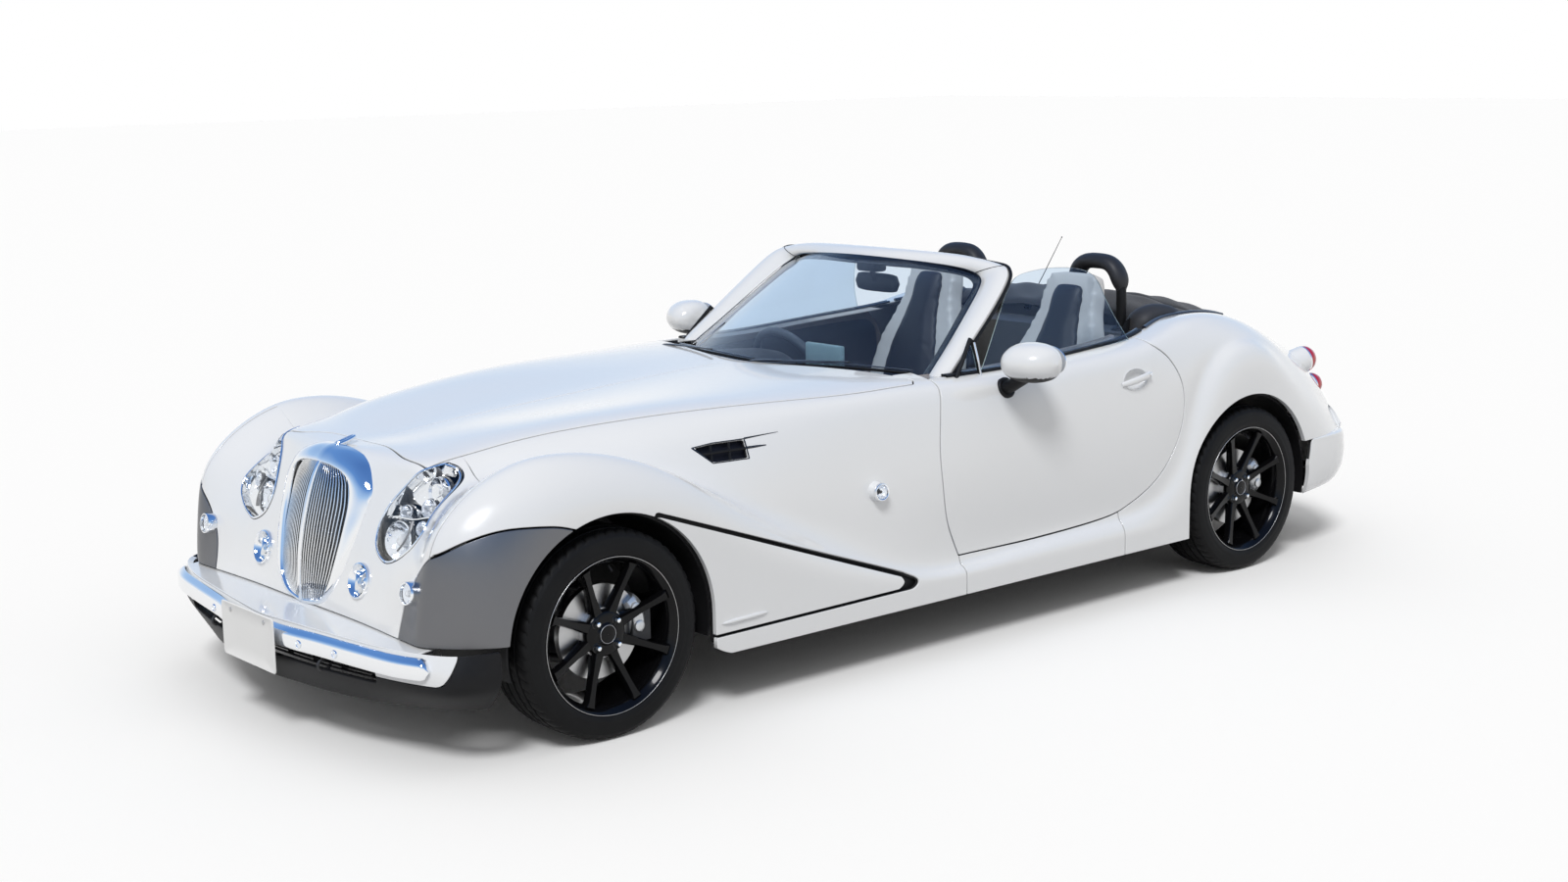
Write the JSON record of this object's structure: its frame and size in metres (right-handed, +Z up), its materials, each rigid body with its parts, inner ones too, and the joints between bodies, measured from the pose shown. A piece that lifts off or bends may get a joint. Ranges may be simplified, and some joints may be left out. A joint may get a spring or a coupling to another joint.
{
  "type": "roadster convertible",
  "caption": "Open two-seat roadster in a neo-classic style: long bonnet, upright bar grille, sweeping front wings into sills, raised windshield, stowed soft top.",
  "frame": {"origin": "on the ground, under the middle of the car's length and width", "axes": "+X forward, +Y to the car's left, +Z up"},
  "size_m": [4.55, 2.03, 1.2499],
  "materials": {
    "white_paint": "gloss white",
    "chrome": "polished chrome",
    "lamp_glass": "clear lamp lens",
    "red_lens": "red lamp lens",
    "black_plastic": "grained black",
    "dark_satin": "satin dark grey",
    "tinted_glass": "light blue tint",
    "underbody_steel": "underbody coating",
    "cast_aluminium": "cast",
    "cast_steel": "painted black",
    "exhaust_steel": "stainless",
    "dark_leather": "black leather",
    "cabin_plastic": "soft-touch black",
    "seat_leather": "two-tone grey leather",
    "soft_top_fabric": "black canvas",
    "plate_white": "blank white",
    "tyre_rubber": "black rubber",
    "black_wheel_paint": "gloss black",
    "brake_steel": "machined steel"
  },
  "bodies": {
    "body": {"nose_fascia": "white_paint", "front_lamps": "lamp_glass", "grille": "chrome", "bumper_cover": "white_paint", "bumper_bars": "chrome", "lower_valance": "black_plastic", "lower_wing_panels": "dark_satin", "side_skirts": "white_paint", "tail_panel": "white_paint", "tail_lamps": "red_lens", "windshield_frame": "white_paint", "windshield_glass": "tinted_glass", "cowl": "black_plastic", "wipers": "black_plastic", "tub": "underbody_steel", "front_frame": "underbody_steel", "boot_box": "underbody_steel", "front_wheel_liners": "black_plastic", "rear_wheel_liners": "black_plastic", "engine": "cast_aluminium", "radiator": "cast_aluminium", "driveline": "cast_steel", "exhaust": "exhaust_steel", "front_suspension": "cast_steel", "rear_suspension": "cast_steel", "dashboard": "cabin_plastic", "seats": "seat_leather", "roll_hoops": "black_plastic", "soft_top": "soft_top_fabric", "number_plates": "plate_white", "fender_left": "white_paint", "fender_right": "white_paint", "quarter_left": "white_paint", "quarter_right": "white_paint"},
    "hood_panel": {"hood": "white_paint"},
    "boot_lid_panel": {"boot_lid": "white_paint"},
    "steering": {"steering_wheel": "dark_leather"},
    "door_assembly_left": {"door_left": "white_paint", "door_glass_left": "tinted_glass", "mirror_left": "white_paint"},
    "upright_front_left": {"knuckle_left": "cast_steel"},
    "wheel_front_left": {"tyre_front_left": "tyre_rubber", "rim_front_left": "black_wheel_paint", "disc_front_left": "brake_steel"},
    "wheel_rear_left": {"tyre_rear_left": "tyre_rubber", "rim_rear_left": "black_wheel_paint", "disc_rear_left": "brake_steel"},
    "door_assembly_right": {"door_right": "white_paint", "door_glass_right": "tinted_glass", "mirror_right": "white_paint"},
    "upright_front_right": {"knuckle_right": "cast_steel"},
    "wheel_front_right": {"tyre_front_right": "tyre_rubber", "rim_front_right": "black_wheel_paint", "disc_front_right": "brake_steel"},
    "wheel_rear_right": {"tyre_rear_right": "tyre_rubber", "rim_rear_right": "black_wheel_paint", "disc_rear_right": "brake_steel"}
  },
  "joints": [
    {"name": "hood_hinge", "type": "hinge", "parent": "body", "child": "hood_panel", "pos_m": [0.1, 0, 0.82], "axis": [0, -1, 0], "range_deg": [0, 50]},
    {"name": "boot_hinge", "type": "hinge", "parent": "body", "child": "boot_lid_panel", "pos_m": [-1.54, 0, 0.938], "axis": [0, 1, 0], "range_deg": [0, 65]},
    {"name": "door_left_hinge", "type": "hinge", "parent": "body", "child": "door_assembly_left", "pos_m": [0.234, 0.848, 0.6], "axis": [0, 0, -1], "range_deg": [0, 65]},
    {"name": "door_right_hinge", "type": "hinge", "parent": "body", "child": "door_assembly_right", "pos_m": [0.234, -0.848, 0.6], "axis": [0, 0, 1], "range_deg": [0, 65]},
    {"name": "steering_turn", "type": "hinge", "parent": "body", "child": "steering", "pos_m": [-0.15, -0.36, 0.745], "axis": [-0.9135, 0, 0.4067], "range_deg": [-462, 462]},
    {"name": "steer_left", "type": "hinge", "parent": "body", "child": "upright_front_left", "pos_m": [1.56, 0.715, 0.308], "axis": [0, 0, 1], "range_deg": [-33.5, 33.5]},
    {"name": "spin_front_left", "type": "hinge", "parent": "upright_front_left", "child": "wheel_front_left", "pos_m": [1.56, 0.75, 0.308], "axis": [0, 1, 0], "continuous": true},
    {"name": "spin_rear_left", "type": "hinge", "parent": "body", "child": "wheel_rear_left", "pos_m": [-1.34, 0.75, 0.308], "axis": [0, 1, 0], "continuous": true},
    {"name": "steer_right", "type": "hinge", "parent": "body", "child": "upright_front_right", "pos_m": [1.56, -0.715, 0.308], "axis": [0, 0, 1], "range_deg": [-33.5, 33.5]},
    {"name": "spin_front_right", "type": "hinge", "parent": "upright_front_right", "child": "wheel_front_right", "pos_m": [1.56, -0.75, 0.308], "axis": [0, 1, 0], "continuous": true},
    {"name": "spin_rear_right", "type": "hinge", "parent": "body", "child": "wheel_rear_right", "pos_m": [-1.34, -0.75, 0.308], "axis": [0, 1, 0], "continuous": true}
  ],
  "couplings": [
    {"joint": "steer_left", "follows": "steering_turn", "ratio": 0.071429},
    {"joint": "steer_right", "follows": "steering_turn", "ratio": 0.071429}
  ]
}
